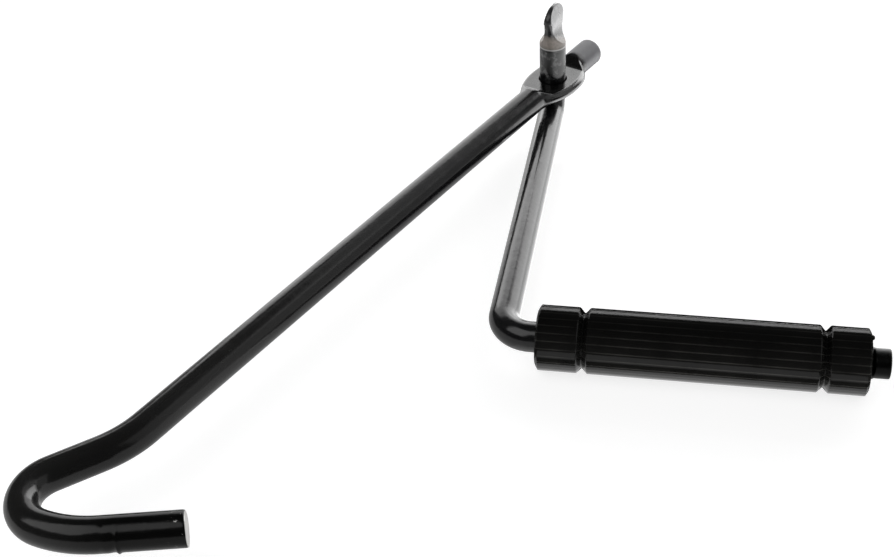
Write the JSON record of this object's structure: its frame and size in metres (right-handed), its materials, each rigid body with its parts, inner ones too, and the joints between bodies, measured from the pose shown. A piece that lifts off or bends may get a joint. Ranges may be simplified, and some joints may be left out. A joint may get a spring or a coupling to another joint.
{
  "type": "folding crank handle",
  "caption": "Folding scissor-jack crank handle: hooked steel bar with a pressed eye, a cranked bar pinned through it, and a spinning fluted grip.",
  "frame": {"origin": "centre of the bounding box's bottom face, at the height of the grip's lowest line", "axes": "+X along the hooked bar from hook to eye and stub, +Z along the pin towards its flattened tongue, the grip on the -Y side"},
  "size_m": [0.3843, 0.2322, 0.068],
  "materials": {
    "hook_rod_paint": "gloss black paint over steel bar, bare where the hook's end was cut",
    "crank_rod_paint": "gloss black paint over steel bar",
    "grip_plastic": "satin moulded black plastic"
  },
  "bodies": {
    "hook_bar": {"hook_rod": "hook_rod_paint"},
    "crank": {"crank_rod": "crank_rod_paint"},
    "hand_grip": {"grip": "grip_plastic"}
  },
  "joints": [
    {"name": "crank_fold", "type": "hinge", "parent": "hook_bar", "child": "crank", "pos_m": [0.15566, 0.0962, 0.0262], "axis": [0, 0, 1], "range_deg": [-26.8, 293]},
    {"name": "grip_spin", "type": "hinge", "parent": "crank", "child": "hand_grip", "pos_m": [0.02633, -0.04831, 0.0131], "axis": [0.4099, -0.9121, 0], "continuous": true}
  ]
}
